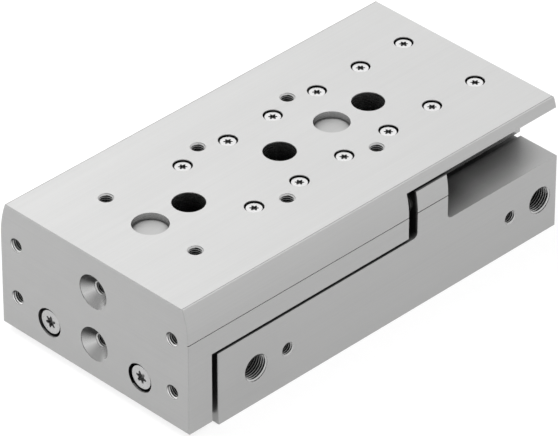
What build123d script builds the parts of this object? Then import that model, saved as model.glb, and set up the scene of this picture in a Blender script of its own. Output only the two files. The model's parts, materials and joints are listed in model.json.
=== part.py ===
from build123d import *
import os
from math import cos, radians, sin, sqrt

# Pneumatic slide table with two pistons side by side, shown fully retracted.
# Millimetres. x runs from the yoke's front face to the rear end, y across the
# table and z up from the base. Left is +y, right is -y, the side with the ports.
# Each piece is shifted as it is written, so that the origin lies on the base
# under the middle of the length.

# Cylinders: two bores side by side, with the walls around them
stroke = 80.0
bore = 20.0
wall_below_bore = 3.3
wall_above_bore = 4.0
wall_beside_bore = 11.7
web_between_bores = 21.0
rod_diameter = 10.0
piston_length = 30.0
piston_gap = 0.1
rod_spigot = 7.0
piston_end_wall = 6.0
front_cap_reach = 23.24
rear_cap_reach = 16.3
nose_diameter = 14.0
bumper_diameter = 17.0
bumper_thickness = 3.0
bumper_gap = 0.3
rod_seal_diameter = 15.0
rod_seal_width = 4.0
rod_gap = 0.05
fit_gap = 0.03
oring_section = 1.8
ring_groove_depth = 0.5
ring_thickness = 1.0
ring_width = 2.2
ring_side_gap = 0.05
ring_edge = 1.1
ring_ear = 1.65
ring_ear_hole = 0.8
ring_ear_turn = 24
ring_gap_width = 4.4

# Table: a slab with rounded flanks, a yoke that hangs down in front, skirts along
# the front part, and thin wings beside a keel along the rear part
slab_thickness = 10.0
yoke_thickness = 10.0
yoke_bottom = 2.8
wing_length = 69.0
wing_thickness = 3.75
skirt_flat = 8.0
keel_wall = 4.2
flank_radius = 33.5
flank_line_height = 0.35
flank_line_depth = 0.6
edge_break = 0.25

# Housing: a block with both cylinders, shoulders under the skirts, a shallow
# centre channel and two raised stop blocks behind the skirts
yoke_gap = 2.66
shoulder_gap = 1.2
channel_depth = 1.3
channel_corner = 0.8
keel_gap = 0.5
stop_gap = 4.0
stop_block_length = 13.8
stop_block_gap = 1.2
stop_block_foot = 1.8

# Holes in the table's top
thread_pitch_x = 40.0
thread_pitch_y = 40.0
thread_rows = 3
first_thread_x = 24.85
table_thread = 5.0
table_thread_depth = 8.0
centring_bore = 12.1
centring_depth = 2.6
centring_pitch = 80.0
access_hole = 11.0
first_access_x = 41.4
access_pitch = 40.0
access_holes = 3

# Holes in the yoke's front face
front_thread = 5.0
front_thread_pitch_y = 70.0
front_thread_pitch_z = 20.0
front_thread_rise = 12.75
front_recess_wall = 0.2
front_recess_cone = 2.8

# Screws
rail_screw = 3.0
rail_screw_head = 5.5
rail_screw_head_height = 3.0
rail_screw_length = 12.0
rail_screw_counterbore = 6.55
head_sink = 0.3
first_rail_screw_x = 54.25
rail_screw_pitch = 20.0
rail_screw_edge = 5.0
rail_screw_inset = 5.0
rod_screw = 5.0
rod_screw_head = 8.4
rod_screw_head_height = 5.0
rod_screw_length = 16.0
rod_screw_counterbore = 10.2
rod_screw_sink = 0.5
block_screw = 4.0
block_screw_head = 7.0
block_screw_head_height = 4.0
block_screw_length = 14.0
block_screw_counterbore = 8.0
block_screw_offset = 11.0
screw_hole_slack = 0.4
thread_slack = 0.03

# Air ports, side threads, base holes and sensor slots
port_thread = 9.73
port_depth = 8.5
front_port_inset = 16.49
rear_port_inset = 7.8
air_channel = 3.0
side_thread = 5.0
side_thread_depth = 8.0
side_thread_offset = 13.87
mount_hole = 6.6
mount_head_depth = 6.5
mount_advance = 20.0
base_thread = 5.0
base_thread_depth = 7.5
base_thread_pitch_x = 80.0
base_thread_pitch_y = 66.0
sensor_slot = 4.2
sensor_slot_mouth = 3.0
sensor_slot_lip = 0.9
sensor_slot_offset = 5.0

# Ball guide: one block on the housing between two rails under the table
guide_space = 13.05
guide_block_width = 20.0
guide_block_top_gap = 1.4
guide_block_length = 40.0
guide_cap_length = 4.0
guide_cap_inset = 0.4
guide_pocket_gap = 1.0
rail_width = 10.5
rail_height = 9.5
rail_side_gap = 1.0
rail_end_gap = 1.2
ball = 3.0
ball_gap = 0.05
ball_pitch = 4.0
balls_per_side = 7
ball_height = 7.0

# Stop screws with an elastic tip, for the retracted end
stop_screw = 8.0
stop_screw_inset = 6.2
stop_screw_drop = 5.7
stop_tip = 1.0
stop_tip_gap = 0.1
stop_screw_recess = 0.8
stop_buffer = 5.0
stop_buffer_length = 5.0
stop_hex = 4.0
stop_hex_depth = 4.0

# Common small values
mouth_chamfer = 0.1
drill_tip_share = 0.6
overcut = 1.0

# Levels from the base up
bore_z = wall_below_bore + bore / 2
shoulder = bore_z + bore / 2 + wall_above_bore
floor = shoulder - channel_depth
skirt_bottom = shoulder + shoulder_gap
flank_start = skirt_bottom + skirt_flat
ceiling = floor + guide_space
table_top = ceiling + slab_thickness
wing_bottom = table_top - wing_thickness
stop_block_top = wing_bottom - stop_block_gap
stop_screw_z = stop_block_top - stop_screw_drop
guide_top = ceiling - guide_block_top_gap
ball_z = floor + ball_height
front_thread_zs = [yoke_bottom + front_thread_rise + i * front_thread_pitch_z for i in range(2)]
rail_screw_seat = table_top - head_sink - rail_screw_head_height
block_screw_seat = guide_top - head_sink - block_screw_head_height

# Places across the table
bore_y = web_between_bores / 2 + bore / 2
half_width = bore_y + bore / 2 + wall_beside_bore
rail_inner = guide_block_width / 2 + rail_side_gap
rail_outer = rail_inner + rail_width
rail_screw_y = rail_inner + rail_screw_inset
keel_half = rail_outer + keel_wall
channel_half = keel_half + keel_gap
ball_y = (guide_block_width / 2 + rail_inner) / 2
stop_screw_y = half_width - stop_screw_inset

# Places along the table
housing_front = yoke_thickness + yoke_gap
front_bumper_front = housing_front + front_cap_reach
front_bumper_rear = front_bumper_front + bumper_thickness
piston_front = front_bumper_rear + bumper_gap + stroke
piston_rear = piston_front + piston_length
rear_bumper_front = piston_rear + bumper_gap
rear_bumper_rear = rear_bumper_front + bumper_thickness
table_length = rear_bumper_front + rear_cap_reach
skirt_end = table_length - wing_length
stop_block_front = skirt_end + stop_gap
stop_block_rear = stop_block_front + stop_block_length
front_port_x = housing_front + front_port_inset
rear_port_x = table_length - rear_port_inset
rod_screw_seat = rod_screw_sink + rod_screw_head_height
access_xs = [first_access_x + i * access_pitch for i in range(access_holes)]
mount_xs = [x - mount_advance for x in access_xs]
guide_centre = mount_xs[1]
guide_front = guide_centre - guide_block_length / 2
guide_rear = guide_centre + guide_block_length / 2
block_screw_xs = [guide_centre - block_screw_offset, guide_centre + block_screw_offset]
rail_front = guide_front - fit_gap
rail_rear = table_length - rail_end_gap
rail_screw_run = rail_rear - rail_screw_edge - first_rail_screw_x
rail_screw_xs = [
    first_rail_screw_x + i * rail_screw_pitch for i in range(1 + int(rail_screw_run / rail_screw_pitch))
]
sides = {"left": 1, "right": -1}


def box_between(x_from, x_to, y_from, y_to, z_from, z_to):
    """A box given by its limits."""
    middle = Pos((x_from + x_to) / 2, (y_from + y_to) / 2, (z_from + z_to) / 2)
    return middle * Box(x_to - x_from, y_to - y_from, z_to - z_from)


def turned(points):
    """A turned solid about Z from (radius, height) points."""
    return revolve(Plane.XZ * make_face(Polyline(*points, close=True)), Axis.Z)


def turned_along_x(points, y, z):
    """A turned solid about a line along X from (radius, x) points."""
    return Pos(0, y, z) * Rot(0, 90, 0) * turned(points)


def collar(inner, outer, x_from, x_to, y, z):
    """A plain ring about a line along X, from its inner and outer radius."""
    corners = [(inner, x_from), (outer, x_from), (outer, x_to), (inner, x_to)]
    return turned_along_x(corners, y, z)


def threaded_hole(diameter, depth):
    """Cutter for a drilled and tapped hole that goes down from z = 0."""
    radius = diameter / 2
    mouth = radius + mouth_chamfer
    return turned([
        (0, overcut), (mouth, overcut), (mouth, 0), (radius, -mouth_chamfer),
        (radius, -depth), (0, -depth - radius * drill_tip_share),
    ])


def plain_hole(diameter, depth):
    """Cutter for a flat-bottomed hole that goes down from z = 0."""
    length = depth + overcut
    return Pos(0, 0, overcut - length / 2) * Cylinder(diameter / 2, length)


def stepped_hole(head, head_depth, shank, depth):
    """Cutter for a counterbored through hole that goes down from z = 0."""
    return turned([
        (0, overcut), (head / 2, overcut), (head / 2, -head_depth),
        (shank / 2, -head_depth), (shank / 2, -depth), (0, -depth),
    ])


def cap_screw(diameter, length, head, head_height):
    """A cap screw that points down, with its head's seat at z = 0."""
    shank = diameter / 2 - thread_slack
    rim = head / 2
    edge = edge_break
    return turned([
        (0, head_height), (rim - edge, head_height), (rim, head_height - edge),
        (rim, 0), (shank, 0), (shank, edge - length), (shank - edge, -length), (0, -length),
    ])


# Turns that point a downward cutter or screw another way
into_front = Rot(0, -90, 0)
into_right_side = Rot(90, 0, 0)
into_base = Rot(180, 0, 0)


def flank_inset(z):
    """How far the rounded flank has drawn in at a height."""
    rise = max(0.0, z - flank_start)
    return flank_radius - sqrt(flank_radius ** 2 - rise ** 2)


def envelope(x_from, x_to):
    """The cross-section that the table and the stop blocks share, along X."""
    middle_z = (flank_start + table_top) / 2
    top_half = half_width - flank_inset(table_top)
    flank = ThreePointArc(
        (half_width, flank_start),
        (half_width - flank_inset(middle_z), middle_z),
        (top_half, table_top),
    )
    right = Polyline((0, 0), (half_width, 0), (half_width, flank_start)) + flank
    right = right + Line((top_half, table_top), (0, table_top))
    section = make_face(right + Line((0, table_top), (0, 0)))
    section = section + mirror(section, Plane.YZ)
    return extrude(Plane.YZ.offset(x_from) * section, amount=x_to - x_from)


def side_view(points, foot_points=(), foot_radius=0.0):
    """A profile of (x, z) points, as wide as the table."""
    profile = make_face(Polyline(*points, close=True))
    feet = [v for v in profile.vertices() if (round(v.X, 3), round(v.Y, 3)) in foot_points]
    if feet:
        profile = fillet(feet, foot_radius)
    return extrude(Plane.XZ * profile, amount=half_width + overcut, both=True)


def flank_lines(x_from, x_to):
    """The fine engraved lines where both flanks begin."""
    groove = make_face(Polyline(
        (half_width + overcut, flank_start - flank_line_height / 2),
        (half_width, flank_start - flank_line_height / 2),
        (half_width - flank_line_depth, flank_start),
        (half_width, flank_start + flank_line_height / 2),
        (half_width + overcut, flank_start + flank_line_height / 2),
        close=True,
    ))
    groove = groove + mirror(groove, Plane.YZ)
    return extrude(Plane.YZ.offset(x_from) * groove, amount=x_to - x_from)


rail_screw_places = [(x, side * rail_screw_y) for x in rail_screw_xs for side in sides.values()]


def make_slide_table():
    profile = side_view([
        (0, yoke_bottom), (yoke_thickness, yoke_bottom), (yoke_thickness, skirt_bottom),
        (skirt_end, skirt_bottom), (skirt_end, wing_bottom), (table_length, wing_bottom),
        (table_length, table_top), (0, table_top),
    ])
    table = profile & envelope(0, table_length)
    rim = table.faces().sort_by(Axis.Z)[-1].outer_wire().edges()
    face = table.faces().sort_by(Axis.X)[0].outer_wire().edges()
    rim_ends = [e.center() for e in rim]
    face = [e for e in face if all((e.center() - c).length > edge_break for c in rim_ends)]
    table = chamfer(list(rim) + face, edge_break)
    table += box_between(
        skirt_end - overcut, table_length, -keel_half, keel_half,
        skirt_bottom, wing_bottom + overcut,
    )
    pocket_half = rail_outer + fit_gap
    table -= box_between(
        rail_front - guide_pocket_gap, table_length + overcut, -pocket_half, pocket_half,
        skirt_bottom - overcut, ceiling,
    )
    table -= flank_lines(-overcut, skirt_end + overcut)

    cuts = []
    tap = threaded_hole(table_thread, table_thread_depth)
    for i in range(thread_rows):
        for side in sides.values():
            x = first_thread_x + i * thread_pitch_x
            cuts.append(Pos(x, side * thread_pitch_y / 2, table_top) * tap)
    for x in (first_thread_x, first_thread_x + centring_pitch):
        cuts.append(Pos(x, 0, table_top) * plain_hole(centring_bore, centring_depth))
    for x in access_xs:
        cuts.append(Pos(x, 0, table_top) * plain_hole(access_hole, table_top - skirt_bottom + overcut))
    counterbore = stepped_hole(
        rail_screw_counterbore, table_top - rail_screw_seat,
        rail_screw + screw_hole_slack, slab_thickness + overcut,
    )
    cuts += [Pos(x, y, table_top) * counterbore for x, y in rail_screw_places]

    front_tap = into_front * threaded_hole(front_thread, yoke_thickness + overcut)
    centre_tap = into_front * turned([
        (0, overcut), (centring_bore / 2, overcut), (centring_bore / 2, -front_recess_wall),
        (front_thread / 2, -front_recess_wall - front_recess_cone),
        (front_thread / 2, -yoke_thickness - overcut), (0, -yoke_thickness - overcut),
    ])
    for z in front_thread_zs:
        cuts.append(Pos(0, 0, z) * centre_tap)
        for side in sides.values():
            cuts.append(Pos(0, side * front_thread_pitch_y / 2, z) * front_tap)
    rod_hole = into_front * stepped_hole(
        rod_screw_counterbore, rod_screw_seat, rod_screw + screw_hole_slack, yoke_thickness + overcut,
    )
    cuts += [Pos(0, side * bore_y, bore_z) * rod_hole for side in sides.values()]
    return table - cuts


def ring_groove_cut(x_from, side):
    width = ring_thickness + 2 * ring_side_gap
    groove = Pos(x_from + width / 2, side * bore_y, bore_z) * Rot(0, 90, 0)
    return groove * Cylinder(bore / 2 + ring_groove_depth, width)


front_ring_x = housing_front + ring_edge
rear_ring_x = table_length - ring_edge - ring_thickness - 2 * ring_side_gap


def sensor_slot_cut(z):
    """One keyhole slot along the left side, open outwards through a narrow mouth."""
    depth = sensor_slot_lip + sensor_slot / 2
    length = table_length - housing_front + 2 * overcut
    start = housing_front - overcut
    channel = Pos(start + length / 2, half_width - depth, z) * Rot(0, 90, 0)
    mouth_low = z - sensor_slot_mouth / 2
    mouth = box_between(
        start, start + length, half_width - depth, half_width + overcut,
        mouth_low, mouth_low + sensor_slot_mouth,
    )
    return channel * Cylinder(sensor_slot / 2, length) + mouth


def make_housing():
    feet = [(round(stop_block_front, 3), round(shoulder, 3)), (round(stop_block_rear, 3), round(shoulder, 3))]
    profile = side_view([
        (housing_front, 0), (table_length, 0), (table_length, shoulder),
        (stop_block_rear, shoulder), (stop_block_rear, stop_block_top),
        (stop_block_front, stop_block_top), (stop_block_front, shoulder),
        (housing_front, shoulder),
    ], feet, stop_block_foot)
    housing = profile & envelope(housing_front, table_length)
    channel = box_between(
        housing_front - overcut, table_length + overcut,
        -channel_half, channel_half, floor, table_top,
    )
    channel = fillet(channel.edges().filter_by(Axis.X).sort_by(Axis.Z)[:2], channel_corner)
    housing -= channel
    ends = [housing.faces().sort_by(Axis.X)[0], housing.faces().sort_by(Axis.X)[-1]]
    housing = chamfer([e for end in ends for e in end.outer_wire().edges()], edge_break)
    housing -= flank_lines(stop_block_front - overcut, stop_block_rear + overcut)

    cuts = []
    length = table_length - housing_front + 2 * overcut
    for side in sides.values():
        middle = Pos((housing_front + table_length) / 2, side * bore_y, bore_z)
        cuts.append(middle * Rot(0, 90, 0) * Cylinder(bore / 2, length))
        cuts.append(ring_groove_cut(front_ring_x, side))
        cuts.append(ring_groove_cut(rear_ring_x, side))
        stop_middle = Pos((stop_block_front + stop_block_rear) / 2, side * stop_screw_y, stop_screw_z)
        cuts.append(stop_middle * Rot(0, 90, 0) * Cylinder(stop_screw / 2, stop_block_length + 2 * overcut))
    port = into_right_side * threaded_hole(port_thread, port_depth)
    air_way = into_right_side * plain_hole(air_channel, half_width + web_between_bores / 2 + overcut)
    for x in (front_port_x, rear_port_x):
        cuts += [Pos(x, -half_width, bore_z) * port, Pos(x, -half_width, bore_z) * air_way]
    side_tap = into_right_side * threaded_hole(side_thread, side_thread_depth)
    for x in (front_port_x + side_thread_offset, rear_port_x - side_thread_offset):
        cuts.append(Pos(x, -half_width, bore_z) * side_tap)
    mount = stepped_hole(access_hole, mount_head_depth, mount_hole, floor + overcut)
    cuts += [Pos(x, 0, floor) * mount for x in mount_xs]
    for x in (mount_xs[0], mount_xs[-1]):
        cuts.append(Pos(x, 0, 0) * into_base * plain_hole(centring_bore, centring_depth))
    base_tap = into_base * threaded_hole(base_thread, base_thread_depth)
    base_middle = (housing_front + table_length) / 2
    for step in (-1, 1):
        for side in sides.values():
            place = Pos(base_middle + step * base_thread_pitch_x / 2, side * base_thread_pitch_y / 2, 0)
            cuts.append(place * base_tap)
    block_tap = threaded_hole(block_screw, block_screw_length - (block_screw_seat - floor) + overcut)
    cuts += [Pos(x, 0, floor) * block_tap for x in block_screw_xs]
    cuts += [sensor_slot_cut(bore_z + step * sensor_slot_offset) for step in (-1, 1)]
    return housing - cuts


def make_rail_screws():
    screw = cap_screw(rail_screw, rail_screw_length, rail_screw_head, rail_screw_head_height)
    return Compound([Pos(x, y, rail_screw_seat) * screw for x, y in rail_screw_places])


def make_rod_screw(side):
    screw = cap_screw(rod_screw, rod_screw_length, rod_screw_head, rod_screw_head_height)
    return Pos(rod_screw_seat, side * bore_y, bore_z) * into_front * screw


def ball_groove(side, x_from, x_to):
    middle = Pos((x_from + x_to) / 2, side * ball_y, ball_z) * Rot(0, 90, 0)
    return middle * Cylinder(ball / 2 + ball_gap, x_to - x_from + 2 * overcut)


def make_guide_rail(side):
    near, far = sorted((side * rail_inner, side * rail_outer))
    rail = box_between(rail_front, rail_rear, near, far, ceiling - rail_height, ceiling)
    rail = chamfer(rail.edges().filter_by(Axis.X), edge_break)
    rail -= ball_groove(side, rail_front, rail_rear)
    depth = rail_screw_length - (rail_screw_seat - ceiling) + overcut / 2
    tap = turned([
        (0, overcut), (rail_screw / 2, overcut), (rail_screw / 2, -depth),
        (0, -depth - rail_screw / 2 * drill_tip_share),
    ])
    return rail - [Pos(x, y, ceiling) * tap for x, y in rail_screw_places if y * side > 0]


def make_guide_block():
    half = guide_block_width / 2
    steel_front = guide_front + guide_cap_length
    steel_rear = guide_rear - guide_cap_length
    block = box_between(steel_front, steel_rear, -half, half, floor, guide_top)
    block = chamfer(block.edges().filter_by(Axis.X), edge_break)
    for side in sides.values():
        block -= ball_groove(side, steel_front, steel_rear)
    height = guide_top - floor
    block -= Pos(guide_centre, 0, guide_top) * plain_hole(access_hole, height + overcut)
    hole = stepped_hole(
        block_screw_counterbore, guide_top - block_screw_seat, block_screw + screw_hole_slack,
        height + overcut,
    )
    return block - [Pos(x, 0, guide_top) * hole for x in block_screw_xs]


def make_guide_block_screws():
    screw = cap_screw(block_screw, block_screw_length, block_screw_head, block_screw_head_height)
    return Compound([Pos(x, 0, block_screw_seat) * screw for x in block_screw_xs])


def make_guide_end_cap(x_from):
    """A plastic cap that turns the balls round at one end of the guide block."""
    half = guide_block_width / 2 - guide_cap_inset
    x_to = x_from + guide_cap_length
    cap = box_between(x_from, x_to, -half, half, floor, guide_top - guide_cap_inset)
    cap = fillet(cap.edges().filter_by(Axis.X).sort_by(Axis.Z)[-2:], guide_cap_length / 2)
    for side in sides.values():
        cap -= ball_groove(side, x_from, x_to)
    return cap


def make_guide_balls(side):
    first = guide_centre - ball_pitch * (balls_per_side - 1) / 2
    places = [Pos(first + i * ball_pitch, side * ball_y, ball_z) for i in range(balls_per_side)]
    return Compound([place * Sphere(ball / 2) for place in places])


# Stations along the cylinders
gland_front = front_ring_x + ring_thickness + 2 * ring_side_gap
gland_shoulder = front_port_x - air_channel / 2 - ring_side_gap
cap_rear = rear_ring_x
cap_shoulder = rear_port_x + air_channel / 2 + ring_side_gap
plug_radius = bore / 2 - fit_gap
oring_floor = bore / 2 - oring_section
bearing_bore = rod_diameter / 2 + rod_gap
gland_oring_x = (gland_front + rod_seal_width + gland_shoulder) / 2
cap_oring_x = (cap_shoulder + cap_rear) / 2


def oring_notch(x_centre):
    """The corners of an O-ring groove on a plug, front to rear."""
    half = oring_section / 2 + ring_side_gap
    floor_radius = oring_floor - fit_gap
    return [
        (plug_radius, x_centre - half), (floor_radius, x_centre - half),
        (floor_radius, x_centre + half), (plug_radius, x_centre + half),
    ]


def make_rod_bearing(side):
    seal_radius = rod_seal_diameter / 2
    seal_rear = gland_front + rod_seal_width
    return turned_along_x([
        (seal_radius, gland_front), (plug_radius, gland_front), *oring_notch(gland_oring_x),
        (plug_radius, gland_shoulder), (nose_diameter / 2, gland_shoulder),
        (nose_diameter / 2, front_bumper_front), (bearing_bore, front_bumper_front),
        (bearing_bore, seal_rear), (seal_radius, seal_rear),
    ], side * bore_y, bore_z)


def make_oring(x_centre, side):
    ring = Torus(oring_floor + oring_section / 2, oring_section / 2 - fit_gap)
    return Pos(x_centre, side * bore_y, bore_z) * Rot(0, 90, 0) * ring


def make_rod_seal(side):
    lip = rod_diameter / 2 + fit_gap
    rim = rod_seal_diameter / 2 - fit_gap
    rear = gland_front + rod_seal_width - fit_gap
    middle = (lip + rim) / 2
    return turned_along_x([
        (lip, gland_front), (lip + edge_break, gland_front - edge_break), (middle, gland_front + edge_break),
        (rim, gland_front + edge_break), (rim, rear), (lip, rear),
    ], side * bore_y, bore_z)


def make_front_bumper(side):
    inner = rod_diameter / 2 + bumper_gap
    return collar(inner, bumper_diameter / 2, front_bumper_front, front_bumper_rear, side * bore_y, bore_z)


def make_rear_cap(side):
    nose = nose_diameter / 2
    pocket = rod_diameter / 2
    return turned_along_x([
        (0, rear_bumper_rear), (nose, rear_bumper_rear), (nose, cap_shoulder), (plug_radius, cap_shoulder),
        *oring_notch(cap_oring_x), (plug_radius, cap_rear), (pocket, cap_rear),
        (pocket - edge_break, cap_rear - overcut), (0, cap_rear - overcut),
    ], side * bore_y, bore_z)


def make_rear_bumper(side):
    return turned_along_x([
        (0, rear_bumper_front), (bumper_diameter / 2 - edge_break, rear_bumper_front),
        (bumper_diameter / 2, rear_bumper_front + edge_break),
        (bumper_diameter / 2, rear_bumper_rear), (0, rear_bumper_rear),
    ], side * bore_y, bore_z)


def make_retaining_ring(x_from, side):
    """A spring ring with two pierced ears beside its gap, which faces down."""
    start = x_from + ring_side_gap
    outer = bore / 2 + ring_groove_depth - ring_side_gap
    inner = outer - ring_width
    ring = Cylinder(outer, ring_thickness) - Cylinder(inner, ring_thickness)
    turns = [radians(-ring_ear_turn), radians(ring_ear_turn)]
    places = [Pos(sin(turn) * inner, -cos(turn) * inner) for turn in turns]
    ears = [place * Cylinder(ring_ear, ring_thickness) for place in places]
    holes = [place * Cylinder(ring_ear_hole, ring_thickness) for place in places]
    gap = Pos(0, -outer, 0) * Box(ring_gap_width, outer, ring_thickness)
    ring = ring + ears - gap - holes
    place = Pos(start + ring_thickness / 2, side * bore_y, bore_z)
    return place * Rot(0, 90, 0) * Rot(0, 0, 90) * ring


# Grooves on the piston, front to rear: seal, magnet and guide ring
piston_radius = bore / 2 - piston_gap
piston_rings = {
    "piston_seal": {"offset": 4.0, "width": 4.0, "depth": 2.0, "rim": bore / 2 - fit_gap},
    "piston_magnet": {"offset": 11.5, "width": 5.0, "depth": 2.5, "rim": piston_radius - piston_gap},
    "piston_guide_ring": {"offset": 20.5, "width": 6.0, "depth": 1.2, "rim": bore / 2 - fit_gap},
}
rod_tip = piston_rear - piston_end_wall


def make_piston(side):
    spigot = rod_spigot / 2 + fit_gap
    outline = [(spigot, piston_front), (piston_radius - edge_break, piston_front)]
    outline.append((piston_radius, piston_front + edge_break))
    for ring in piston_rings.values():
        start = piston_front + ring["offset"]
        end = start + ring["width"]
        ring_floor = piston_radius - ring["depth"]
        outline += [(piston_radius, start), (ring_floor, start), (ring_floor, end), (piston_radius, end)]
    outline += [(piston_radius, piston_rear - edge_break), (piston_radius - edge_break, piston_rear)]
    outline += [(0, piston_rear), (0, rod_tip + fit_gap), (spigot, rod_tip + fit_gap)]
    return turned_along_x(outline, side * bore_y, bore_z)


def make_piston_ring(name, side):
    ring = piston_rings[name]
    inner = piston_radius - ring["depth"] + fit_gap
    start = piston_front + ring["offset"] + fit_gap
    end = start + ring["width"] - 2 * fit_gap
    return collar(inner, ring["rim"], start, end, side * bore_y, bore_z)


def make_piston_rod(side):
    radius = rod_diameter / 2
    screw_depth = rod_screw_seat + rod_screw_length - yoke_thickness + overcut
    rod = turned_along_x([
        (0, yoke_thickness), (radius - edge_break, yoke_thickness), (radius, yoke_thickness + edge_break),
        (radius, piston_front), (rod_spigot / 2, piston_front), (rod_spigot / 2, rod_tip), (0, rod_tip),
    ], side * bore_y, bore_z)
    tap = into_front * turned([
        (0, overcut), (rod_screw / 2, overcut), (rod_screw / 2, -screw_depth),
        (0, -screw_depth - rod_screw / 2 * drill_tip_share),
    ])
    return rod - Pos(yoke_thickness, side * bore_y, bore_z) * tap


stop_tip_x = skirt_end + stop_tip_gap
stop_screw_front = stop_tip_x + stop_tip
stop_screw_rear = stop_block_rear - stop_screw_recess


def make_stop_screw(side):
    radius = stop_screw / 2 - thread_slack
    pocket = stop_buffer / 2 + fit_gap
    pocket_end = stop_tip_x + stop_buffer_length + fit_gap
    screw = turned_along_x([
        (pocket, stop_screw_front), (radius - edge_break, stop_screw_front),
        (radius, stop_screw_front + edge_break), (radius, stop_screw_rear - edge_break),
        (radius - edge_break, stop_screw_rear), (0, stop_screw_rear), (0, pocket_end), (pocket, pocket_end),
    ], side * stop_screw_y, stop_screw_z)
    hexagon = RegularPolygon(stop_hex / 2, 6, major_radius=False)
    socket_floor = Plane.YZ.offset(stop_screw_rear - stop_hex_depth)
    socket = extrude(socket_floor * hexagon, amount=stop_hex_depth + overcut)
    return screw - Pos(0, side * stop_screw_y, stop_screw_z) * socket


def make_stop_buffer(side):
    radius = stop_buffer / 2
    return turned_along_x([
        (0, stop_tip_x), (radius - edge_break, stop_tip_x), (radius, stop_tip_x + edge_break),
        (radius, stop_tip_x + stop_buffer_length), (0, stop_tip_x + stop_buffer_length),
    ], side * stop_screw_y, stop_screw_z)


pieces = {
    "slide_table": make_slide_table(),
    "housing": make_housing(),
    "rail_screws": make_rail_screws(),
    "guide_block": make_guide_block(),
    "guide_block_screws": make_guide_block_screws(),
    "guide_end_cap_front": make_guide_end_cap(guide_front),
    "guide_end_cap_rear": make_guide_end_cap(guide_rear - guide_cap_length),
}
for name, side in sides.items():
    pieces["guide_rail_" + name] = make_guide_rail(side)
    pieces["guide_balls_" + name] = make_guide_balls(side)
    pieces["rod_screw_" + name] = make_rod_screw(side)
    pieces["piston_rod_" + name] = make_piston_rod(side)
    pieces["piston_" + name] = make_piston(side)
    for ring_name in piston_rings:
        pieces[ring_name + "_" + name] = make_piston_ring(ring_name, side)
    pieces["rod_bearing_" + name] = make_rod_bearing(side)
    pieces["rod_bearing_oring_" + name] = make_oring(gland_oring_x, side)
    pieces["rod_seal_" + name] = make_rod_seal(side)
    pieces["front_bumper_" + name] = make_front_bumper(side)
    pieces["front_retaining_ring_" + name] = make_retaining_ring(front_ring_x, side)
    pieces["rear_cap_" + name] = make_rear_cap(side)
    pieces["rear_cap_oring_" + name] = make_oring(cap_oring_x, side)
    pieces["rear_bumper_" + name] = make_rear_bumper(side)
    pieces["rear_retaining_ring_" + name] = make_retaining_ring(rear_ring_x, side)
    pieces["stop_screw_" + name] = make_stop_screw(side)
    pieces["stop_buffer_" + name] = make_stop_buffer(side)

os.makedirs("parts", exist_ok=True)
to_part_frame = Pos(-table_length / 2, 0, 0)
for node, solid in pieces.items():
    export_step(to_part_frame * solid, "parts/" + node + ".step")
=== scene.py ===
import json
from math import ceil, cos, pi, radians, sin

import bmesh
import bpy
from mathutils import Matrix, Vector


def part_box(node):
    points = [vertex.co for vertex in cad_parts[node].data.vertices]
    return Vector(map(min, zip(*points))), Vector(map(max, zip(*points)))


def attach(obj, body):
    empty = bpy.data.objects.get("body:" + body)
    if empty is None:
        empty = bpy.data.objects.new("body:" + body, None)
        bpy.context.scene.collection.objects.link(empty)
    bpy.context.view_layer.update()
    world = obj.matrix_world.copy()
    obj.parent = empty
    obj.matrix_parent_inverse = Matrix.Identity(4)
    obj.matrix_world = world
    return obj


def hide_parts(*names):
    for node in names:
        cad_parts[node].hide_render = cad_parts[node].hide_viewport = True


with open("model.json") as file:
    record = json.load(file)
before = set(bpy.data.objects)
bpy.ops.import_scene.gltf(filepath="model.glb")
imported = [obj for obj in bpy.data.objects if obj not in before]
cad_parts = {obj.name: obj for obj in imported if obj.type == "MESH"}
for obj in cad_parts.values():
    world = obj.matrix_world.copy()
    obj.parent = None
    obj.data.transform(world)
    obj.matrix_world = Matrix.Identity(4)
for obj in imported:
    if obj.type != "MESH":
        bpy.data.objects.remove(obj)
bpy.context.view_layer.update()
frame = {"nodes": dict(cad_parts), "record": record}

# Metres, in the part's own frame: +X along the stroke away from the yoke, +Y to the
# left side, +Z up, origin on the base under the middle of the length.
mm = 0.001
scene = bpy.context.scene
nodes_by_name = frame["nodes"]
mounts = {m["name"]: m for m in frame["record"]["mounts"]}
x_axis, y_axis, z_axis = (1, 0, 0), (0, 1, 0), (0, 0, 1)
to_front, to_right, to_base = (-1, 0, 0), (0, -1, 0), (0, 0, -1)

# Where the faces and bores of the two machined pieces lie, for their materials
skin = 0.03 * mm
edge_break = 0.3 * mm
recess = 3.0 * mm
flat_top_half = 39.8 * mm
edge_line_width = 0.5 * mm
table_bores_half = 39 * mm
housing_bores_top = 27 * mm
counterbore_width = 6.0 * mm
counterbore_gap = 0.5 * mm

# From this z of its normal on, a face counts as level, or as a ledge
level_normal, ledge_normal = 0.75, 0.3

# Grain, marks and clouds of the surfaces, as noise scales per metre
lengthwise_scales = (14.0, 2600.0, 2600.0)
level_scales = (14.0, 14.0, 2600.0)
turned_scales = (200.0, 200.0, 3000.0)
cone_scales = (700.0, 60.0, 60.0)
streak_scales = (9.0, 160.0, 160.0)
cloud_scales = (26.0, 26.0, 26.0)
speckle_scales = (1500.0, 1500.0, 1500.0)
fine_scales = (900.0, 900.0, 900.0)
ground_scales = (30.0, 2200.0, 2200.0)
ring_scales = (3200.0, 60.0, 60.0)
metal_cloud_scales = (120.0, 120.0, 120.0)
soft_cloud_scales = (180.0, 180.0, 180.0)
pit_scales = (1400.0, 1400.0, 1400.0)
floor_scales = (300.0, 300.0, 300.0)

# Nearly all of the noise lies between these
noise_low, noise_high = 0.3, 0.7

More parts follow.
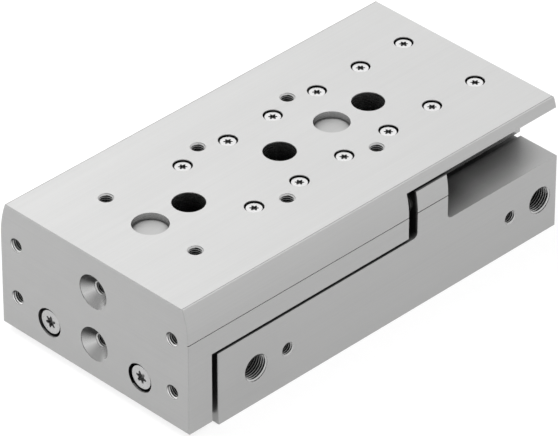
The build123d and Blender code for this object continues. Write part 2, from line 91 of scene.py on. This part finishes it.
# Tones, finishes and marks of the machined faces and their bores, and painted shade on recess floors and
# around small screws
aluminium_tone, bore_tone, thread_tone = 0.53, 0.42, 0.5
aluminium_tint = (1.0, 1.0, 0.995)
face_metallic, bore_metallic = 0.35, 0.95
full_specular = 0.5
bore_roughness, thread_roughness = 0.27, 0.3
grain_swing, streak_swing, cloud_swing = 0.014, 0.005, 0.006
speckle_share = 0.35
recess_floor_painted_shade = 0.8
edge_line_share = 0.5
counterbore_painted_shade = 0.12

# Painted light and shade that follow where a face looks: from and to, and what each end gives
cone_painted_light = (-0.3, 0.35, 0.05, 0.55)
cone_painted_bottom_shade = (0.35, 0.6, 1.0, 0.5)
cone_reflection_shade = (-0.45, 0.15, 0.1, 1.0)
front_thread_painted_light = (-0.35, 0.4, 0.03, 0.85)
chamfer_painted_shade = (0.1, 0.4, 1.0, 0.72)

# The painted crevice shade: how far it looks, how open bores are where it starts, its darkest
deep_reach, housing_reach, shallow_reach = 20 * mm, 22 * mm, 8 * mm
bore_openness, darkest_shade = 0.08, 0.05
crevice_samples, bevel_samples = 40, 4

# Threads and screws. A thread's height is a share of its pitch, and thread_shares says
# where its two flats start and end along the pitch
mouth = 0.1 * mm
thread_shares = (0.0, 0.125, 0.4375, 0.6875)
hole_thread_height, stop_thread_height, screw_thread_height = 0.54, 0.61, 0.5
m5, m5_pitch = 5.0 * mm, 0.8 * mm
g_eighth, g_eighth_pitch = 9.73 * mm, 0.907 * mm
top_depth, side_depth, base_depth, yoke_depth, port_depth = 7.9 * mm, 7.9 * mm, 7.4 * mm, 9.95 * mm, 8.4 * mm
m5_steps, base_steps, port_steps, screw_steps = 32, 24, 56, 72
head_edge = 0.22 * mm
head_edge_shares = (0.0, 0.3, 0.6, 0.85, 1.0)
drive_rim, drive_tip_share = 0.25 * mm, 0.18
plain_pitches = 1.5
thread_slack = 0.03 * mm
m3_head_height, m3_head_drop = 3.0 * mm, 0.22 * mm
m3_screw = {
    "thread": 3.0 * mm,
    "pitch": 0.5 * mm,
    "length": 12.0 * mm,
    "head": 5.5 * mm,
    "head_height": m3_head_height - m3_head_drop,
    "drive": 3.0 * mm,
    "waist": 1.9 * mm,
    "drive_depth": 1.1 * mm,
}
m5_screw = {
    "thread": 5.0 * mm,
    "pitch": 0.8 * mm,
    "length": 16.0 * mm,
    "head": 8.4 * mm,
    "head_height": 5.0 * mm,
    "drive": 4.4 * mm,
    "waist": 2.7 * mm,
    "drive_depth": 1.5 * mm,
}
m3_screws_per_row = 6
stop_pitch = 1.25 * mm
stop_socket, stop_socket_mouth = 4.0 * mm, 4.3 * mm
stop_socket_depth, stop_socket_tip = 4.0 * mm, 0.6 * mm

# How far the drives are turned, in degrees
rail_turn, rail_turn_change = 15.0, 2.0
rod_turns = {"left": 20.0, "right": 50.0}

# Floor and light. A strength of 1 is white
floor_half = 3.0
floor_z = -0.02 * mm
floor_tones = (0.21, 0.23)
floor_lift = 0.83
sky_light, sky_seen = 0.25, 1.0
lamp_aim = Vector((0.0, 0.0, 0.02))
lamps = {
    "key": {"place": (-0.17, 0.26, 0.43), "size": 0.5, "power": 2.45},
    "above": {"place": (-0.1, 1.6, 2.2), "size": 1.2, "power": 6.5},
    "flank": {"place": (0.3, -1.3, 1.95), "size": 1.2, "power": 25.0},
    "front": {"place": (-0.7, 0.35, 1.5), "size": 1.2, "power": 6.5},
    "right": {"place": (0.9, -2.64, 0.55), "size": 0.9, "power": 7.0},
    "left": {"place": (-0.75, 0.75, 0.45), "size": 0.3, "power": 0.35},
}

# The camera stands where the photo's did, worked out from its edges and holes
camera_place = Vector((-1.0321, -1.0339, 1.0455))
camera_azimuth = radians(225.099)
camera_elevation = radians(35.001)
camera_lens = 360.94
sensor_width = 36.0
nearest, farthest = 0.05, 30.0

camera_data = bpy.data.cameras.new("camera")
camera_data.lens = camera_lens
camera_data.sensor_width = sensor_width
camera_data.clip_start = nearest
camera_data.clip_end = farthest
camera = bpy.data.objects.new("camera", camera_data)
scene.collection.objects.link(camera)
back = Vector((
    cos(camera_elevation) * cos(camera_azimuth),
    cos(camera_elevation) * sin(camera_azimuth),
    sin(camera_elevation),
))
camera.location = camera_place
camera.rotation_mode = "QUATERNION"
camera.rotation_quaternion = (-back).to_track_quat("-Z", "Y")
scene.camera = camera
scene.view_settings.view_transform = "Standard"


# Small helpers for material nodes
def new_material(name):
    """A material with nothing but a surface shader, and its node tree."""
    material = bpy.data.materials.new(name)
    material.use_nodes = True
    tree = material.node_tree
    shader = tree.nodes["Principled BSDF"]
    return material, tree, shader


def add_node(tree, kind, settings=None, **inputs):
    """A node with its settings, and its inputs from values or from other nodes' outputs."""
    node = tree.nodes.new(kind)
    for key, value in (settings or {}).items():
        setattr(node, key, value)
    for key, value in inputs.items():
        socket = node.inputs[int(key[1:])] if key[0] == "i" and key[1:].isdigit() else node.inputs[key]
        if isinstance(value, bpy.types.NodeSocket):
            tree.links.new(value, socket)
        else:
            socket.default_value = value
    return node


def math_node(tree, operation, *values):
    """The result of a Math node."""
    inputs = {f"i{i}": value for i, value in enumerate(values)}
    return add_node(tree, "ShaderNodeMath", {"operation": operation}, **inputs).outputs[0]


def object_place(tree):
    return add_node(tree, "ShaderNodeTexCoord").outputs["Object"]


def object_normal(tree):
    return add_node(tree, "ShaderNodeTexCoord").outputs["Normal"]


def split(tree, vector):
    """The x, y and z of a vector."""
    return add_node(tree, "ShaderNodeSeparateXYZ", i0=vector).outputs


def noise(tree, place, scales, detail=3.0):
    """Noise from 0 to 1, with its own scale, per metre, along each axis."""
    scaled = add_node(tree, "ShaderNodeVectorMath", {"operation": "MULTIPLY"}, i0=place, i1=scales)
    texture = add_node(tree, "ShaderNodeTexNoise", Vector=scaled.outputs[0], Scale=1.0, Detail=detail,
                       Roughness=0.6)
    return texture.outputs["Fac"]


def blend_values(tree, share, low, high):
    """low where share is 0 and high where it is 1, for numbers."""
    return add_node(tree, "ShaderNodeMix", {"data_type": "FLOAT"}, i0=share, i2=low, i3=high).outputs[0]


def stretch(tree, value, from_low, from_high, to_low, to_high):
    """A value moved from one range to another, and kept inside it."""
    node = add_node(tree, "ShaderNodeMapRange", i0=value, i1=from_low, i2=from_high, i3=to_low, i4=to_high)
    return node.outputs[0]


def swing(tree, noise_value, size):
    """Noise as a change of up to size each way."""
    return stretch(tree, noise_value, noise_low, noise_high, -size, size)


def total(tree, first, *others):
    """The sum of some values."""
    for other in others:
        first = math_node(tree, "ADD", first, other)
    return first


def product(tree, first, *others):
    """Some values multiplied together."""
    for other in others:
        first = math_node(tree, "MULTIPLY", first, other)
    return first


def between(tree, value, low, high):
    """1 where a value lies between two others."""
    over = math_node(tree, "GREATER_THAN", value, low)
    return product(tree, over, math_node(tree, "LESS_THAN", value, high))


def size_of(tree, value):
    """A value without its sign."""
    return math_node(tree, "ABSOLUTE", value)


def grey_colour(tree, value, tint):
    """A colour from a brightness and a fixed tint."""
    return add_node(tree, "ShaderNodeVectorMath", {"operation": "SCALE"}, i0=tint, Scale=value).outputs[0]


def bumped(tree, shader, height, depth, strength, edge=0.0):
    """Gives the shader a bump of a real depth, over edges rounded by a real radius."""
    bump = add_node(tree, "ShaderNodeBump", Height=height, Strength=strength, Distance=depth)
    if edge:
        rounded = add_node(tree, "ShaderNodeBevel", {"samples": bevel_samples}, Radius=edge)
        tree.links.new(rounded.outputs[0], bump.inputs["Normal"])
    tree.links.new(bump.outputs[0], shader.inputs["Normal"])


def crevice(tree, reach, low, high, darkest):
    """Painted shade in the colour, from darkest, where a point is no more open than low, to 1,
    where it is as open as high. A square corner is half open."""
    shade = add_node(tree, "ShaderNodeAmbientOcclusion", {"samples": crevice_samples}, Distance=reach)
    return stretch(tree, shade.outputs["AO"], low, high, darkest, 1.0)


def bore_shade(tree, bore, reach, low, high):
    """The painted crevice shade, which starts at a narrower gap inside bores."""
    return crevice(tree, reach, blend_values(tree, bore, low, bore_openness), high, darkest_shade)


# Materials
def edge_line(tree, place):
    """A fine darker line on the table, just inside the edges where its flat top ends."""
    top_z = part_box("slide_table")[1].z
    across, up = split(tree, place)[1:]
    near_edge = between(tree, size_of(tree, across), flat_top_half - edge_line_width, flat_top_half)
    line = product(tree, near_edge, math_node(tree, "GREATER_THAN", up, top_z - skin))
    return stretch(tree, line, 0.0, 1.0, 1.0, edge_line_share)


def screw_rows(tree, place):
    """1 in the two bands where the table's small screws sit in their counterbores."""
    high_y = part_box("rail_screws")[1].y
    across = size_of(tree, split(tree, place)[1])
    return between(tree, across, high_y - counterbore_width, high_y + counterbore_gap)


def in_front_recess(tree, place):
    """1 behind the yoke's front face, as deep as its two cones are."""
    return math_node(tree, "LESS_THAN", split(tree, place)[0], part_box("slide_table")[0].x + recess)


def inside_table(tree, axes):
    """The table's bores and hidden faces: below its top, off its flanks and its two ends."""
    low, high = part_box("slide_table")
    deep = product(tree, between(tree, axes[2], low.z + edge_break, high.z - edge_break),
                   between(tree, axes[0], low.x + skin, high.x - skin))
    return product(tree, deep, between(tree, size_of(tree, axes[1]), -1.0, table_bores_half))


def inside_housing(tree, axes):
    """The housing's bores, ports and slots: behind its sides and above its base."""
    low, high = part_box("housing")
    deep = product(tree, between(tree, axes[2], low.z + skin, housing_bores_top),
                   between(tree, axes[0], low.x + edge_break, high.x - edge_break))
    return product(tree, deep, between(tree, size_of(tree, axes[1]), -1.0, high.y - skin))


def machined_aluminium(name, roughness, inside, openness, reach, ledge=None, table=False):
    """Anodised aluminium with fine lengthwise grain. Its bores, which inside gives as a
    share from 0 to 1, are turned smoother. Crevices and bores get painted shade:
    openness holds how open a face is where that painted shade starts and ends, and ledge
    the same for faces that look up. Recess floors and the chamfers at the ends get painted
    shade too. The table also has the two cones, with painted light and shade by where
    their faces look, the small screws' counterbores with painted shade around the heads,
    and the line along its flat top."""
    material, tree, shader = new_material(name)
    place = object_place(tree)
    normal_axes = split(tree, object_normal(tree))
    nx, nz = normal_axes[0], normal_axes[2]
    level_face = math_node(tree, "GREATER_THAN", size_of(tree, nz), level_normal)
    hidden = inside(tree, split(tree, place))
    bore = math_node(tree, "GREATER_THAN", hidden, level_face)
    recess_floor = product(tree, hidden, math_node(tree, "GREATER_THAN", nz, level_normal))

    turned = noise(tree, place, turned_scales)
    bore_and_painted_cone_tone, metallic = bore_tone, bore_metallic
    if table:
        front = in_front_recess(tree, place)
        in_cone = product(tree, bore, front)
        turned = blend_values(tree, front, turned, noise(tree, place, cone_scales, detail=1.0))
        # Painted light and shade in the two cones: darkest where faces look down, then a bright band, and
        # darker at their bottom
        cone_painted_tone = product(tree, stretch(tree, nz, *cone_painted_light), stretch(tree, nz, *cone_painted_bottom_shade))
        bore_and_painted_cone_tone = blend_values(tree, front, bore_tone, cone_painted_tone)
        # Painted shade: faces of the cones that look down reflect less
        painted_reflection_shade = blend_values(tree, in_cone, 1.0, stretch(tree, nz, *cone_reflection_shade))
        metallic = product(tree, painted_reflection_shade, bore_metallic)
        tree.links.new(product(tree, painted_reflection_shade, full_specular), shader.inputs["Specular IOR Level"])

    grain = blend_values(tree, level_face, noise(tree, place, level_scales),
                         noise(tree, place, lengthwise_scales))
    grain = blend_values(tree, bore, grain, turned)
    cloud = noise(tree, place, cloud_scales, detail=2.0)
    tone = total(
        tree,
        swing(tree, grain, grain_swing),
        swing(tree, noise(tree, place, streak_scales, detail=2.0), streak_swing),
        swing(tree, cloud, cloud_swing),
        blend_values(tree, bore, aluminium_tone, bore_and_painted_cone_tone),
    )
    # Painted shade on the chamfers between the ends and the top or base, which dims their highlight
    chamfer_shade = stretch(tree, size_of(tree, product(tree, nx, nz)), *chamfer_painted_shade)
    # Painted shade on the floors of recesses
    tone = product(tree, tone, stretch(tree, recess_floor, 0.0, 1.0, 1.0, recess_floor_painted_shade),
                   blend_values(tree, bore, chamfer_shade, 1.0))

    low, high = openness
    # Faces that look up, such as the housing's shoulders under the table, take a painted shade that reaches
    # more open places
    if ledge:
        looks_up = math_node(tree, "GREATER_THAN", nz, ledge_normal)
        low = blend_values(tree, looks_up, low, ledge[0])
        high = blend_values(tree, looks_up, high, ledge[1])
    shade = bore_shade(tree, bore, reach, low, high)
    speckle = noise(tree, place, speckle_scales, detail=2.0)
    height = blend_values(tree, speckle_share, grain, speckle)
    if table:
        tone = product(tree, tone, edge_line(tree, place))
        shade = blend_values(tree, in_cone, shade, 1.0)
        # Painted shade in the gaps around the small screws' heads, in their counterbores
        around_screws = product(tree, bore, screw_rows(tree, place))
        shade = product(tree, shade, stretch(tree, around_screws, 0.0, 1.0, 1.0, counterbore_painted_shade))
        height = blend_values(tree, in_cone, height, grain)

    tone = product(tree, tone, shade)
    tree.links.new(grey_colour(tree, tone, aluminium_tint), shader.inputs["Base Color"])
    tree.links.new(blend_values(tree, bore, face_metallic, metallic), shader.inputs["Metallic"])
    rough = total(tree, swing(tree, grain, 0.05), swing(tree, cloud, 0.02),
                  blend_values(tree, bore, roughness, bore_roughness))
    tree.links.new(rough, shader.inputs["Roughness"])
    bumped(tree, shader, height, depth=0.0035 * mm, strength=0.6)
    return material


def thread_metal(name):
    """Cut threads, with painted shade that makes them darker with depth. In the front, flanks that face up
    get a painted highlight and flanks that face down painted shade.
    """
    material, tree, shader = new_material(name)
    place = object_place(tree)
    marks = noise(tree, place, fine_scales)
    up = split(tree, object_normal(tree))[2]
    # Painted highlight on the front threads' flanks that face up, painted shade on those that face down
    tone = blend_values(tree, in_front_recess(tree, place), thread_tone,
                        stretch(tree, up, *front_thread_painted_light))
    tone = total(tree, tone, swing(tree, marks, 0.02))
    tone = product(tree, tone, crevice(tree, deep_reach, low=0.26, high=0.5, darkest=0.15))
    tree.links.new(grey_colour(tree, tone, aluminium_tint), shader.inputs["Base Color"])
    shader.inputs["Metallic"].default_value = bore_metallic
    rough = total(tree, swing(tree, marks, 0.05), thread_roughness)
    tree.links.new(rough, shader.inputs["Roughness"])
    bumped(tree, shader, marks, depth=0.002 * mm, strength=0.5)
    return material


def plain_metal(name, brightness, roughness, tint=(1.0, 1.0, 1.0), scales=fine_scales, darkest=0.6):
    """A metal with fine marks that follow their noise scales, and painted shade down to darkest in gaps."""
    material, tree, shader = new_material(name)
    place = object_place(tree)
    marks = noise(tree, place, scales)
    cloud = noise(tree, place, metal_cloud_scales, detail=2.0)
    tone = total(tree, swing(tree, marks, 0.03), swing(tree, cloud, 0.03), brightness)
    tone = product(tree, tone, crevice(tree, shallow_reach, low=0.3, high=0.6, darkest=darkest))
    tree.links.new(grey_colour(tree, tone, tint), shader.inputs["Base Color"])
    shader.inputs["Metallic"].default_value = 1.0
    rough = total(tree, swing(tree, marks, 0.06), roughness)
    tree.links.new(rough, shader.inputs["Roughness"])
    bumped(tree, shader, marks, depth=0.003 * mm, strength=0.5, edge=0.08 * mm)
    return material


def soft_material(name, brightness, roughness, tint=(1.0, 1.0, 1.0)):
    """Rubber or moulded plastic with a fine uneven surface."""
    material, tree, shader = new_material(name)
    place = object_place(tree)
    pits = noise(tree, place, pit_scales, detail=4.0)
    cloud = noise(tree, place, soft_cloud_scales, detail=2.0)
    tone = product(tree, stretch(tree, cloud, noise_low, noise_high, 0.85, 1.15), brightness)
    tree.links.new(grey_colour(tree, tone, tint), shader.inputs["Base Color"])
    rough = total(tree, swing(tree, pits, 0.08), roughness)
    tree.links.new(rough, shader.inputs["Roughness"])
    bumped(tree, shader, pits, depth=0.01 * mm, strength=0.5, edge=0.1 * mm)
    return material


steel_tint = (0.98, 0.99, 1.0)
materials = {
    "anodised_table": machined_aluminium("anodised_table", 0.36, inside_table, (0.41, 0.51), deep_reach,
                                         table=True),
    "anodised_housing": machined_aluminium("anodised_housing", 0.38, inside_housing, (0.39, 0.51),
                                           housing_reach, ledge=(0.3, 0.75)),
    "tapped_thread": thread_metal("tapped_thread"),
    "guide_steel": plain_metal("guide_steel", 0.56, 0.22, steel_tint, ground_scales),
    "ball_steel": plain_metal("ball_steel", 0.72, 0.08),
    "guide_plastic": soft_material("guide_plastic", 0.03, 0.42, (0.95, 1.0, 1.05)),
    "screw_steel": plain_metal("screw_steel", 0.84, 0.26, darkest=0.2),
    # A darker copy of the screw steel for the screws in the yoke's front face: painted shade
    "yoke_screw_steel": plain_metal("yoke_screw_steel", 0.45, 0.3),
    "rod_steel": plain_metal("rod_steel", 0.74, 0.1, steel_tint, ring_scales),
    "piston_alloy": plain_metal("piston_alloy", 0.7, 0.3, scales=ring_scales),
    "seal_rubber": soft_material("seal_rubber", 0.02, 0.5),
    "magnet": soft_material("magnet", 0.04, 0.6, (1.05, 1.0, 0.97)),
    "bearing_alloy": plain_metal("bearing_alloy", 0.62, 0.3, scales=ring_scales),
    "bumper_rubber": soft_material("bumper_rubber", 0.03, 0.55),
    "spring_steel": plain_metal("spring_steel", 0.16, 0.35, (1.0, 0.98, 0.95)),
    "stop_steel": plain_metal("stop_steel", 0.22, 0.35, (1.0, 0.99, 0.97)),
    "stop_rubber": soft_material("stop_rubber", 0.03, 0.5),
}
slot_of = {s["node"]: s["material_slot"] for s in frame["record"]["subparts"]}
for name, node in nodes_by_name.items():
    node.data.materials.clear()
    node.data.materials.append(materials[slot_of[name]])


# Meshes made of rings about local Z, which all have the same number of points
def ring(bm, radius, z, steps):
    """A ring of points. The radius is a number or a function of the angle."""
    angles = [2 * pi * i / steps for i in range(steps)]
    radii = [radius(a) if callable(radius) else radius for a in angles]
    return [bm.verts.new((r * cos(a), r * sin(a), z)) for r, a in zip(radii, angles)]


def loft(bm, rings):
    """Walls between rings that follow each other. A ring of one point is a tip."""
    for lower, upper in zip(rings, rings[1:]):
        steps = max(len(lower), len(upper))
        for i in range(steps):
            j = (i + 1) % steps
            if len(lower) == 1:
                bm.faces.new((lower[0], upper[i], upper[j]))
            elif len(upper) == 1:
                bm.faces.new((lower[i], lower[j], upper[0]))
            else:
                bm.faces.new((lower[i], lower[j], upper[j], upper[i]))


def helix(bm, flats, pitch, z_low, z_high, steps, limit):
    """A threaded wall. flats holds (share of the pitch, radius) up one turn, and limit
    changes a radius by its height. The result is the wall's lowest and highest ring."""
    turns = ceil((z_high - z_low) / pitch) + 2
    rows = [(z_low + (k - 1 + share) * pitch, radius) for k in range(turns) for share, radius in flats]
    columns = []
    for i in range(steps):
        angle = 2 * pi * i / steps
        column = []
        for z, radius in rows:
            z = min(max(z + pitch * i / steps, z_low), z_high)
            r = limit(z, radius)
            column.append(bm.verts.new((r * cos(angle), r * sin(angle), z)))
        columns.append(column)
    last = len(rows) - 1
    for i in range(steps):
        here, there = columns[i], columns[(i + 1) % steps]
        shift = len(flats) if i + 1 == steps else 0
        for m in range(last):
            corners = (here[m], there[min(m + shift, last)], there[min(m + 1 + shift, last)], here[m + 1])
            if corners[1] is not corners[2]:
                bm.faces.new(corners)
    return [c[0] for c in columns], [c[-1] for c in columns]


def finished_object(bm, name, material, body):
    """An object from a finished mesh, on its body and with its slot."""
    weld, sharp_angle = 1e-7, radians(35.0)
    bmesh.ops.remove_doubles(bm, verts=bm.verts, dist=weld)
    bmesh.ops.dissolve_degenerate(bm, edges=bm.edges, dist=weld)
    bmesh.ops.recalc_face_normals(bm, faces=bm.faces)
    mesh = bpy.data.meshes.new(name)
    bm.to_mesh(mesh)
    bm.free()
    mesh.materials.append(materials[material])
    piece = bpy.data.objects.new(name, mesh)
    scene.collection.objects.link(piece)
    mesh.shade_smooth()
    mesh.set_sharp_from_angle(angle=sharp_angle)
    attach(piece, body)
    return piece


def placed(bm, first, place, direction):
    """Moves the points added since first from local Z to a direction and a place."""
    turn = Vector(direction).to_track_quat("Z", "Y").to_matrix().to_4x4()
    bm.verts.ensure_lookup_table()
    bmesh.ops.transform(bm, matrix=Matrix.Translation(place) @ turn, verts=bm.verts[first:])


# Threads inside the tapped holes, each a thin sleeve against the hole's wall
def tapped_sleeve(bm, diameter, pitch, depth, steps, place, axis):
    """One sleeve in a hole that goes in from place against its axis."""
    first = len(bm.verts)
    outer = diameter / 2 - skin / 4
    root = diameter / 2 - skin
    crest = diameter / 2 - hole_thread_height * pitch
    top, bottom = -mouth, -depth

    def limit(z, radius):
        lead_in = root - (top - z)
        run_out = root - (z - bottom)
        return max(radius, lead_in, run_out)

    flats = list(zip(thread_shares, (root, root, crest, crest)))
    low, high = helix(bm, flats, pitch, bottom, top, steps, limit)
    outside_low, outside_high = ring(bm, outer, bottom, steps), ring(bm, outer, top, steps)
    loft(bm, [low, outside_low, outside_high, high])
    placed(bm, first, place, axis)


def sleeves(name, diameter, pitch, depth, steps, places, axis, body):
    """One object with a sleeve at each place, in the machined piece of its body."""
    bm = bmesh.new()
    for place in places:
        tapped_sleeve(bm, diameter, pitch, depth, steps, place, axis)
    finished_object(bm, name, "tapped_thread", body)


def pattern(name, along, across):
    """The places of a bolt pattern's holes, from its mount."""
    mount = mounts[name]
    centre, dims = Vector(mount["pos_m"]), mount["dims"]
    half_along = dims.get("spacing_x_mm", 0.0) * mm / 2
    half_across = dims.get("spacing_y_mm", 0.0) * mm / 2
    alongs = [-half_along, half_along] if half_along else [0.0]
    acrosses = [-half_across, half_across] if half_across else [0.0]
    return [centre + Vector(along) * a + Vector(across) * b for a in alongs for b in acrosses]


top_places = pattern("table_threads_outer", x_axis, y_axis) + pattern("table_threads_middle", x_axis, y_axis)
sleeves("table_top_threads", m5, m5_pitch, top_depth, m5_steps, top_places, z_axis, "table")
front_places = pattern("front_threads", y_axis, z_axis)
sleeves("front_threads", m5, m5_pitch, yoke_depth, m5_steps, front_places, to_front, "table")
centre_places = pattern("front_centre_threads", y_axis, z_axis)
centre_depth = yoke_depth - recess
sleeves("front_centre_threads", m5, m5_pitch, centre_depth, m5_steps, centre_places, to_front, "table")
side_places = pattern("side_threads", x_axis, z_axis)
sleeves("side_threads", m5, m5_pitch, side_depth, m5_steps, side_places, to_right, "housing")
base_places = pattern("base_threads", x_axis, y_axis)
sleeves("base_threads", m5, m5_pitch, base_depth, base_steps, base_places, to_base, "housing")
for name in ("port_front", "port_rear"):
    face = Vector(mounts[name]["pos_m"]) - Vector((0, mouth, 0))
    sleeves(name + "_threads", g_eighth, g_eighth_pitch, port_depth, port_steps, [face], to_right, "housing")


# Cap screws with a six-lobe drive
def lobes(across_tips, across_waists):
    """The radius, by its angle, of a star with six rounded lobes."""
    middle = (across_tips + across_waists) / 4
    reach = (across_tips - across_waists) / 4
    return lambda angle: middle + reach * sin(pi / 2 * cos(6 * angle))


def cap_screw(bm, size, place, axis, turn):
    """One screw that points against its axis, with the head's seat at its place."""
    first = len(bm.verts)
    pitch, length, head_height = size["pitch"], size["length"], size["head_height"]
    drive, waist = size["drive"], size["waist"]
    radius, crest = size["head"] / 2, size["thread"] / 2 - thread_slack
    root = crest - screw_thread_height * pitch
    rings = [[bm.verts.new((0, 0, -length))], ring(bm, root - head_edge, -length, screw_steps)]
    ridges = int((length - plain_pitches * pitch) / pitch)
    for k in range(ridges):
        z = -length + head_edge + k * pitch
        rings += [ring(bm, root, z, screw_steps), ring(bm, crest, z + pitch / 2, screw_steps)]
    rings += [ring(bm, crest, 0, screw_steps), ring(bm, radius, 0, screw_steps)]
    for share in head_edge_shares:
        slope = share * pi / 2
        rings.append(ring(bm, radius - head_edge * (1 - cos(slope)),
                          head_height - head_edge * (1 - sin(slope)), screw_steps))
    drive_floor = head_height - size["drive_depth"]
    outline = lobes(drive, waist)
    wide_outline = lobes(drive + 2 * mouth, waist + 2 * mouth)
    rings += [
        ring(bm, drive / 2 + drive_rim, head_height, screw_steps),
        ring(bm, wide_outline, head_height, screw_steps),
        ring(bm, outline, head_height - mouth, screw_steps),
        ring(bm, outline, drive_floor, screw_steps),
        [bm.verts.new((0, 0, drive_floor - waist * drive_tip_share))],
    ]
    loft(bm, rings)
    bm.verts.ensure_lookup_table()
    bmesh.ops.rotate(bm, matrix=Matrix.Rotation(turn, 3, "Z"), verts=bm.verts[first:])
    placed(bm, first, place, axis)


rail_low, rail_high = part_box("rail_screws")
seat_z = rail_high.z - m3_head_height
head_radius = m3_screw["head"] / 2
first_x, last_x = rail_low.x + head_radius, rail_high.x - head_radius
row_y = rail_high.y - head_radius
bm = bmesh.new()
for i in range(m3_screws_per_row):
    x = first_x + (last_x - first_x) * i / (m3_screws_per_row - 1)
    for side in (-1, 1):
        turn = radians(rail_turn + rail_turn_change * side)
        cap_screw(bm, m3_screw, Vector((x, side * row_y, seat_z)), z_axis, turn)
rail_screws = finished_object(bm, "rail_cap_screws", "screw_steel", "table")
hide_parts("rail_screws")

for side, turn in rod_turns.items():
    low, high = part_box("rod_screw_" + side)
    seat = Vector((low.x + m5_screw["head_height"], (low.y + high.y) / 2, (low.z + high.z) / 2))
    bm = bmesh.new()
    cap_screw(bm, m5_screw, seat, to_front, radians(turn))
    screw = finished_object(bm, "rod_cap_screw_" + side, "yoke_screw_steel", "table")
    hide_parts("rod_screw_" + side)


# Stop screws: a full thread, a hexagon socket at the rear and a pocket for the buffer
def hexagon(across_flats):
    """The radius, by its angle, of a hexagon."""
    def radius(angle):
        return across_flats / 2 / cos((angle + pi / 6) % (pi / 3) - pi / 6)
    return radius


def stop_screw(side):
    """One stop screw from its tip to its rear end, along +X."""
    low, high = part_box("stop_screw_" + side)
    length = high.x - low.x
    tip = Vector((low.x, (low.y + high.y) / 2, (low.z + high.z) / 2))
    pocket_low, pocket_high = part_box("stop_buffer_" + side)
    pocket = (pocket_high.z - pocket_low.z) / 2 + thread_slack
    pocket_end = pocket_high.x - low.x + thread_slack
    crest = (high.z - low.z) / 2
    root = crest - stop_thread_height * stop_pitch
    bm = bmesh.new()

    def limit(z, radius):
        return min(radius, root + z, root + length - z)

    flats = list(zip(thread_shares, (crest, crest, root, root)))
    front, rear = helix(bm, flats, stop_pitch, 0.0, length, screw_steps, limit)
    inside = [ring(bm, pocket, 0.0, screw_steps), ring(bm, pocket, pocket_end, screw_steps)]
    loft(bm, [front, *inside, [bm.verts.new((0, 0, pocket_end))]])
    socket = hexagon(stop_socket)
    socket_floor = length - stop_socket_depth
    outline = [
        ring(bm, hexagon(stop_socket_mouth), length, screw_steps),
        ring(bm, socket, length - (stop_socket_mouth - stop_socket) / 2, screw_steps),
        ring(bm, socket, socket_floor, screw_steps),
    ]
    loft(bm, [rear, *outline, [bm.verts.new((0, 0, socket_floor - stop_socket_tip))]])
    placed(bm, 0, tip, x_axis)
    screw = finished_object(bm, "stop_thread_" + side, "stop_steel", "stop_" + side)
    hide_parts("stop_screw_" + side)


for side in ("left", "right"):
    stop_screw(side)


# Floor, lamps and the light all round
def seen_rays(tree):
    """1 for rays from the camera, from mirroring surfaces and through clear ones."""
    rays = add_node(tree, "ShaderNodeLightPath")
    seen = math_node(tree, "MAXIMUM", rays.outputs["Is Camera Ray"], rays.outputs["Is Glossy Ray"])
    return math_node(tree, "MAXIMUM", seen, rays.outputs["Is Transmission Ray"])


def floor_material():
    """A pale floor that the camera and reflections see lighter. It is clear from below."""
    material, tree, shader = new_material("floor")
    speck = noise(tree, object_place(tree), floor_scales)
    tone = stretch(tree, speck, noise_low, noise_high, *floor_tones)
    tree.links.new(grey_colour(tree, tone, (1.0, 1.0, 1.0)), shader.inputs["Base Color"])
    shader.inputs["Roughness"].default_value = 1.0
    shader.inputs["Specular IOR Level"].default_value = 0.0
    glow = add_node(tree, "ShaderNodeEmission", Strength=product(tree, seen_rays(tree), floor_lift))
    both = add_node(tree, "ShaderNodeAddShader", i0=shader.outputs[0], i1=glow.outputs[0])
    clear = add_node(tree, "ShaderNodeBsdfTransparent")
    below = add_node(tree, "ShaderNodeNewGeometry").outputs["Backfacing"]
    one_sided = add_node(tree, "ShaderNodeMixShader", i0=below, i1=both.outputs[0], i2=clear.outputs[0])
    tree.links.new(one_sided.outputs[0], tree.nodes["Material Output"].inputs["Surface"])
    return material


floor_mesh = bpy.data.meshes.new("floor")
corners = [(x * floor_half, y * floor_half, floor_z) for x, y in ((-1, -1), (1, -1), (1, 1), (-1, 1))]
floor_mesh.from_pydata(corners, [], [(0, 1, 2, 3)])
floor_mesh.materials.append(floor_material())
floor = bpy.data.objects.new("floor", floor_mesh)
scene.collection.objects.link(floor)
# The crevice shade looks for what stands near, and the floor isn't part of that
floor.visible_shadow = False


def lamp(name, place, size, power):
    """A soft square lamp aimed at the part. Metal mirrors the floor and sky but not the lamp."""
    data = bpy.data.lights.new(name, "AREA")
    data.shape = "SQUARE"
    data.size = size
    data.energy = power
    light = bpy.data.objects.new(name, data)
    light.location = place
    light.visible_glossy = False
    light.rotation_mode = "QUATERNION"
    light.rotation_quaternion = (lamp_aim - Vector(place)).to_track_quat("-Z", "Y")
    scene.collection.objects.link(light)


for name, values in lamps.items():
    lamp(name, **values)

world = bpy.data.worlds.new("world")
scene.world = world
world.use_nodes = True
tree = world.node_tree
tree.nodes.clear()
sky_strength = blend_values(tree, seen_rays(tree), sky_light, sky_seen)
sky = add_node(tree, "ShaderNodeBackground", Color=(1.0, 1.0, 1.0, 1.0), Strength=sky_strength)
add_node(tree, "ShaderNodeOutputWorld", Surface=sky.outputs[0])
